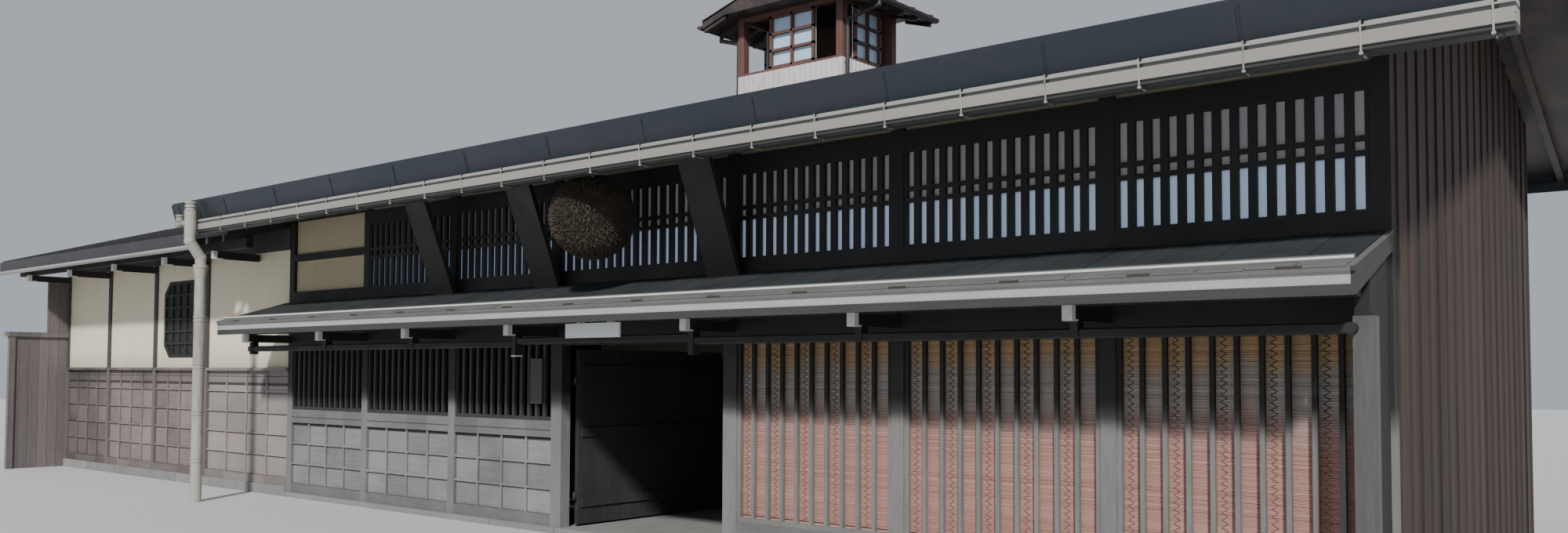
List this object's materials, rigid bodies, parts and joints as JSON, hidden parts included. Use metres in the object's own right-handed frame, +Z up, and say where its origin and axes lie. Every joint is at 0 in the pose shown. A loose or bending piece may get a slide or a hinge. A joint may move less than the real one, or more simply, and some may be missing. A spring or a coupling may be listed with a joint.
{
  "type": "machiya townhouse, two-storey street front with a one-storey wing",
  "caption": "Long dark-timber machiya townhouse with lattice bays, pent roof, cedar ball, plastered wing and ridge lantern tower.",
  "frame": {"origin": "on the footing's underside, at ground level, under the street face of the post where the main house meets the wing", "axes": "+X along the street front towards its right end, +Y into the house, +Z up"},
  "size_m": [22.6, 8.0338, 6.1495],
  "materials": {
    "stone": "matt",
    "dark_timber": "satin",
    "weathered_timber": "matt",
    "brown_board": "matt",
    "reed": "matt",
    "black_iron": "satin",
    "white_paper": "matt",
    "cream_plaster": "matt",
    "cedar_sprigs": "matt",
    "roof_sheet": "satin",
    "gutter_metal": "satin",
    "tower_sheet": "satin",
    "frosted_glass": "frosted",
    "white_enamel": "gloss"
  },
  "bodies": {
    "house": {"foundation": "stone", "front_posts": "dark_timber", "front_sills": "weathered_timber", "left_dado": "weathered_timber", "left_lattice": "dark_timber", "right_lattice": "weathered_timber", "reed_blinds": "reed", "front_lintel": "dark_timber", "lintel_pole": "dark_timber", "door_frame": "dark_timber", "door_hinges": "black_iron", "pent_roof": "weathered_timber", "pent_fascia": "weathered_timber", "pent_arms": "dark_timber", "upper_rails": "dark_timber", "upper_lattice": "dark_timber", "paper_screens": "white_paper", "upper_plaster": "cream_plaster", "slanting_boards": "dark_timber", "cedar_ball": "cedar_sprigs", "main_roof": "roof_sheet", "roof_fascia": "roof_sheet", "ridge_cap": "roof_sheet", "main_gutter": "gutter_metal", "downpipe": "gutter_metal", "left_gable": "brown_board", "right_gable": "brown_board", "rear_wall": "cream_plaster", "rear_windows": "dark_timber", "upper_floor": "brown_board", "wing_posts": "dark_timber", "wing_dado": "brown_board", "wing_plaster": "cream_plaster", "octagon_window": "dark_timber", "wing_roof": "roof_sheet", "wing_gutter": "gutter_metal", "wing_arms": "dark_timber", "party_wall": "brown_board", "sleeve_wall": "brown_board", "tower_skirt": "tower_sheet", "tower_frame": "brown_board", "tower_windows": "frosted_glass", "tower_roof": "roof_sheet", "eave_lamp": "white_enamel", "blank_boards": "white_enamel"},
    "door": {"entrance_door": "weathered_timber"}
  },
  "joints": [
    {"name": "entrance_hinge", "type": "hinge", "parent": "house", "child": "door", "pos_m": [5.585, 0.165, 0], "axis": [0, 0, 1], "range_deg": [-90, 0]}
  ]
}
